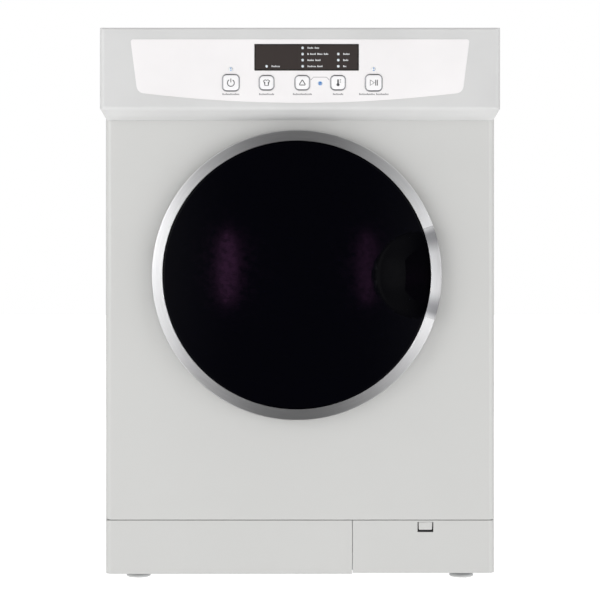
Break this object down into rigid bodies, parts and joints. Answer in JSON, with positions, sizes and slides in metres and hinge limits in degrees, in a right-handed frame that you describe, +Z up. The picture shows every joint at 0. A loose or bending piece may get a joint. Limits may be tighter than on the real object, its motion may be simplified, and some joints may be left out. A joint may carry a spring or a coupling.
{
  "type": "clothes dryer",
  "caption": "Compact front-loading vented clothes dryer with round porthole door, belt-driven drum, heater, blower, push-button fascia, service flap and levelling feet.",
  "frame": {"origin": "on the floor under the centre of the machine's outer box", "axes": "+X to the user's right facing the front, +Y to the back, +Z up; the door faces -Y"},
  "size_m": [0.608, 0.6152, 0.85],
  "materials": {
    "cabinet_paint": "satin light grey enamel",
    "galvanised": "galvanised sheet",
    "trim_steel": "concentric brushed stainless",
    "machine_steel": "plain bright steel",
    "drum_steel": "satin drum steel",
    "fascia_plastic": "satin light grey",
    "inlay_plastic": "glossy white",
    "key_plastic": "glossy white",
    "window_plastic": "smoked window",
    "light_guide": "clear light guide",
    "door_dark": "piano black",
    "door_glass": "tempered glass",
    "black_plastic": "moulded black",
    "seal_rubber": "matt",
    "felt": "wool felt",
    "lifter_plastic": "moulded light grey",
    "motor_housing": "stamped motor shell",
    "heater_wire": "oxidised resistance wire",
    "circuit_board": "glass epoxy"
  },
  "bodies": {
    "cabinet": {"base_pan": "galvanised", "left_side_panel": "cabinet_paint", "right_side_panel": "cabinet_paint", "rear_panel": "galvanised", "worktop": "cabinet_paint", "front_panel": "cabinet_paint", "kick_plate": "cabinet_paint", "front_bulkhead": "galvanised", "drum_seals": "felt", "rear_bulkhead": "galvanised", "rear_bearing": "machine_steel", "heater_housing": "galvanised", "heater_coil": "heater_wire", "blower_housing": "galvanised", "exhaust_duct": "galvanised", "drive_motor": "motor_housing", "drive_belt": "seal_rubber", "control_fascia": "fascia_plastic", "fascia_inlay": "inlay_plastic", "display_window": "window_plastic", "status_leds": "light_guide", "control_board": "circuit_board", "door_catch": "black_plastic", "door_hinge_bracket": "galvanised", "door_hinge_pin": "machine_steel", "moisture_sensor": "machine_steel", "cord_gland": "black_plastic", "panel_screws": "machine_steel", "idler_spring": "machine_steel"},
    "door": {"door_trim_ring": "trim_steel", "door_handle": "trim_steel", "door_frame": "black_plastic", "door_cover": "door_dark", "door_grip_cup": "door_dark", "door_glass": "door_glass", "door_gasket": "seal_rubber", "door_striker": "machine_steel", "door_hinge_leaf": "galvanised"},
    "drum": {"drum_shell": "drum_steel", "drum_front_ring": "drum_steel", "drum_rear_disc": "drum_steel", "drum_lifters": "lifter_plastic"},
    "filter": {"lint_filter": "lifter_plastic"},
    "left_roller": {"left_drum_roller": "seal_rubber"},
    "right_roller": {"right_drum_roller": "seal_rubber"},
    "motor_rotor": {"motor_shaft": "machine_steel", "blower_wheel": "black_plastic"},
    "tension_arm": {"idler_arm": "galvanised"},
    "tension_pulley": {"idler_pulley": "black_plastic"},
    "power_key": {"power_button": "key_plastic"},
    "refresh_key": {"refresh_button": "key_plastic"},
    "program_key": {"program_button": "key_plastic"},
    "temperature_key": {"temperature_button": "key_plastic"},
    "start_key": {"start_button": "key_plastic"},
    "flap": {"service_flap": "cabinet_paint"},
    "latch": {"flap_latch": "lifter_plastic"},
    "foot_lf": {"left_front_foot": "seal_rubber"},
    "foot_lr": {"left_rear_foot": "seal_rubber"},
    "foot_rf": {"right_front_foot": "seal_rubber"},
    "foot_rr": {"right_rear_foot": "seal_rubber"}
  },
  "joints": [
    {"name": "door_hinge", "type": "hinge", "parent": "cabinet", "child": "door", "pos_m": [-0.215, -0.2832, 0.475], "axis": [0, 0, -1], "range_deg": [0, 160]},
    {"name": "drum_spin", "type": "hinge", "parent": "cabinet", "child": "drum", "pos_m": [-0.005, 0, 0.475], "axis": [0, 1, 0], "continuous": true},
    {"name": "filter_slide", "type": "slide", "parent": "drum", "child": "filter", "axis": [0, -1, 0], "range_m": [0, 0.08]},
    {"name": "left_roller_spin", "type": "hinge", "parent": "cabinet", "child": "left_roller", "pos_m": [-0.16254, 0, 0.22287], "axis": [0, 1, 0], "continuous": true},
    {"name": "right_roller_spin", "type": "hinge", "parent": "cabinet", "child": "right_roller", "pos_m": [0.15254, 0, 0.22287], "axis": [0, 1, 0], "continuous": true},
    {"name": "motor_spin", "type": "hinge", "parent": "cabinet", "child": "motor_rotor", "pos_m": [0.13, 0, 0.125], "axis": [0, 1, 0], "continuous": true},
    {"name": "idler_arm_swing", "type": "hinge", "parent": "cabinet", "child": "tension_arm", "pos_m": [0.01, 0, 0.145], "axis": [0, 1, 0], "range_deg": [0, 6], "stiffness_Nm_per_rad": 4, "springref_deg": -6.88, "deforming": ["idler_spring"]},
    {"name": "idler_spin", "type": "hinge", "parent": "tension_arm", "child": "tension_pulley", "pos_m": [0.082, 0, 0.118], "axis": [0, 1, 0], "continuous": true},
    {"name": "power_press", "type": "slide", "parent": "cabinet", "child": "power_key", "axis": [0, 1, 0], "range_m": [0, 0.0015], "stiffness_N_per_m": 400},
    {"name": "refresh_press", "type": "slide", "parent": "cabinet", "child": "refresh_key", "axis": [0, 1, 0], "range_m": [0, 0.0015], "stiffness_N_per_m": 400},
    {"name": "program_press", "type": "slide", "parent": "cabinet", "child": "program_key", "axis": [0, 1, 0], "range_m": [0, 0.0015], "stiffness_N_per_m": 400},
    {"name": "temperature_press", "type": "slide", "parent": "cabinet", "child": "temperature_key", "axis": [0, 1, 0], "range_m": [0, 0.0015], "stiffness_N_per_m": 400},
    {"name": "start_press", "type": "slide", "parent": "cabinet", "child": "start_key", "axis": [0, 1, 0], "range_m": [0, 0.0015], "stiffness_N_per_m": 400},
    {"name": "flap_hinge", "type": "hinge", "parent": "cabinet", "child": "flap", "pos_m": [0.19, -0.26, 0.024], "axis": [1, 0, 0], "range_deg": [0, 85]},
    {"name": "latch_slide", "type": "slide", "parent": "flap", "child": "latch", "axis": [0, 0, -1], "range_m": [0, 0.003], "stiffness_N_per_m": 300},
    {"name": "foot_lf_screw", "type": "slide", "parent": "cabinet", "child": "foot_lf", "axis": [0, 0, -1], "range_m": [0, 0.015]},
    {"name": "foot_lr_screw", "type": "slide", "parent": "cabinet", "child": "foot_lr", "axis": [0, 0, -1], "range_m": [0, 0.015]},
    {"name": "foot_rf_screw", "type": "slide", "parent": "cabinet", "child": "foot_rf", "axis": [0, 0, -1], "range_m": [0, 0.015]},
    {"name": "foot_rr_screw", "type": "slide", "parent": "cabinet", "child": "foot_rr", "axis": [0, 0, -1], "range_m": [0, 0.015]}
  ],
  "couplings": [
    {"joint": "motor_spin", "follows": "drum_spin", "ratio": 23.643},
    {"joint": "idler_spin", "follows": "drum_spin", "ratio": -11.377},
    {"joint": "left_roller_spin", "follows": "drum_spin", "ratio": -10},
    {"joint": "right_roller_spin", "follows": "drum_spin", "ratio": -10}
  ]
}
